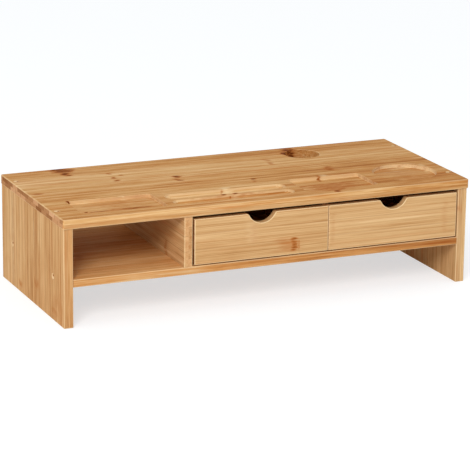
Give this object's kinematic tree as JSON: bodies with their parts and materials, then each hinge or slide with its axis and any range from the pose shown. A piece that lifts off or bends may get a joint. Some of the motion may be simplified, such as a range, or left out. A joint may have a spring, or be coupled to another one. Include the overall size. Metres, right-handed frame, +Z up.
{
  "type": "monitor stand with drawers",
  "caption": "Low bamboo desk stand that raises a screen, with pen, tray and cup recesses in its top, an open compartment and sliding drawers, and keyboard space below.",
  "frame": {"origin": "on the floor, under the middle of the top board", "axes": "+X along the width to the right, +Y to the back, +Z up; the drawers face -Y"},
  "size_m": [0.56, 0.242, 0.1395],
  "materials": {
    "top_bamboo": "satin lacquered bamboo, strips along the width",
    "panel_bamboo": "satin lacquered bamboo",
    "shelf_bamboo": "satin lacquered bamboo, strips along the width",
    "front_bamboo": "satin lacquered bamboo, fine grain along the width",
    "box_bamboo": "lightly sanded bamboo",
    "bottom_bamboo": "thin bamboo board, sanded",
    "plug_bamboo": "end grain, sanded flush",
    "screw_steel": "zinc plated"
  },
  "bodies": {
    "stand": {"top_board": "top_bamboo", "side_panel_left": "panel_bamboo", "side_panel_right": "panel_bamboo", "shelf_board": "shelf_bamboo", "divider_panel": "panel_bamboo", "drawer_partition": "panel_bamboo", "top_screw_left_front": "screw_steel", "top_screw_left_back": "screw_steel", "top_screw_right_front": "screw_steel", "top_screw_right_back": "screw_steel", "top_plug_left_front": "plug_bamboo", "top_plug_left_back": "plug_bamboo", "top_plug_right_front": "plug_bamboo", "top_plug_right_back": "plug_bamboo", "shelf_screw_left_front": "screw_steel", "shelf_screw_left_back": "screw_steel", "shelf_screw_right_front": "screw_steel", "shelf_screw_right_back": "screw_steel", "shelf_plug_left_front": "plug_bamboo", "shelf_plug_left_back": "plug_bamboo", "shelf_plug_right_front": "plug_bamboo", "shelf_plug_right_back": "plug_bamboo", "divider_screw_front": "screw_steel", "divider_screw_back": "screw_steel", "partition_screw_front": "screw_steel", "partition_screw_back": "screw_steel", "divider_dowel_front": "plug_bamboo", "divider_dowel_back": "plug_bamboo", "partition_dowel_front": "plug_bamboo", "partition_dowel_back": "plug_bamboo"},
    "left_drawer": {"left_drawer_front": "front_bamboo", "left_drawer_left_wall": "box_bamboo", "left_drawer_right_wall": "box_bamboo", "left_drawer_back": "box_bamboo", "left_drawer_bottom": "bottom_bamboo", "left_drawer_pin_front_left_low": "plug_bamboo", "left_drawer_pin_front_left_high": "plug_bamboo", "left_drawer_pin_front_right_low": "plug_bamboo", "left_drawer_pin_front_right_high": "plug_bamboo", "left_drawer_pin_back_left_low": "plug_bamboo", "left_drawer_pin_back_left_high": "plug_bamboo", "left_drawer_pin_back_right_low": "plug_bamboo", "left_drawer_pin_back_right_high": "plug_bamboo"},
    "right_drawer": {"right_drawer_front": "front_bamboo", "right_drawer_left_wall": "box_bamboo", "right_drawer_right_wall": "box_bamboo", "right_drawer_back": "box_bamboo", "right_drawer_bottom": "bottom_bamboo", "right_drawer_pin_front_left_low": "plug_bamboo", "right_drawer_pin_front_left_high": "plug_bamboo", "right_drawer_pin_front_right_low": "plug_bamboo", "right_drawer_pin_front_right_high": "plug_bamboo", "right_drawer_pin_back_left_low": "plug_bamboo", "right_drawer_pin_back_left_high": "plug_bamboo", "right_drawer_pin_back_right_low": "plug_bamboo", "right_drawer_pin_back_right_high": "plug_bamboo"}
  },
  "joints": [
    {"name": "left_drawer_slide", "type": "slide", "parent": "stand", "child": "left_drawer", "axis": [0, -1, 0], "range_m": [0, 0.13]},
    {"name": "right_drawer_slide", "type": "slide", "parent": "stand", "child": "right_drawer", "axis": [0, -1, 0], "range_m": [0, 0.13]}
  ]
}
